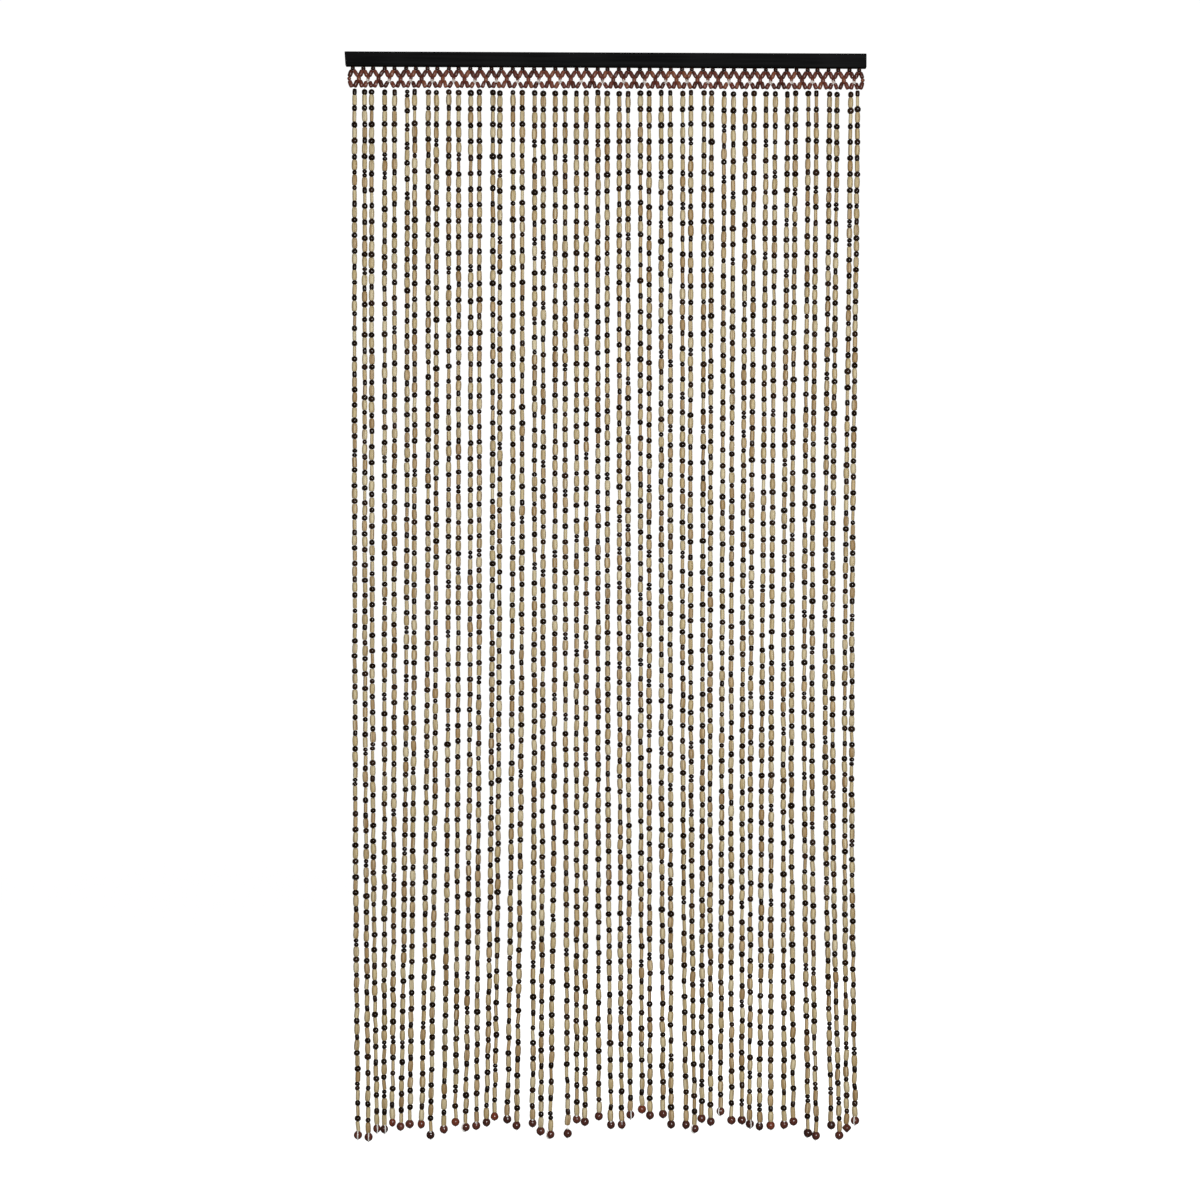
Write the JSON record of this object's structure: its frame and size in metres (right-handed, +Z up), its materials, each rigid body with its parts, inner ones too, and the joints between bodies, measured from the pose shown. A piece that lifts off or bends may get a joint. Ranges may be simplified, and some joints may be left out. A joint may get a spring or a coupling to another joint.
{
  "type": "bead curtain on a batten",
  "caption": "Doorway curtain of bamboo and black beads on threads, hung through a beaded net from a flat black batten.",
  "frame": {"origin": "centre of the batten's back face, which lies against the wall or door frame", "axes": "+Z up; +Y away from the viewer, out of the batten's back; +X to the right as the curtain is looked at"},
  "size_m": [0.8999, 0.0173, 1.8778],
  "materials": {
    "black_paint": "matte black paint on wood",
    "bamboo": "smooth bare bamboo with a fine lengthwise grain",
    "black_bead": "glossy black lacquer on wood",
    "brown_bead": "glossy red-brown stain on wood",
    "thread": "off-white twisted nylon"
  },
  "bodies": {
    "root": {"batten": "black_paint", "net_and_strands": "bamboo"}
  },
  "joints": []
}
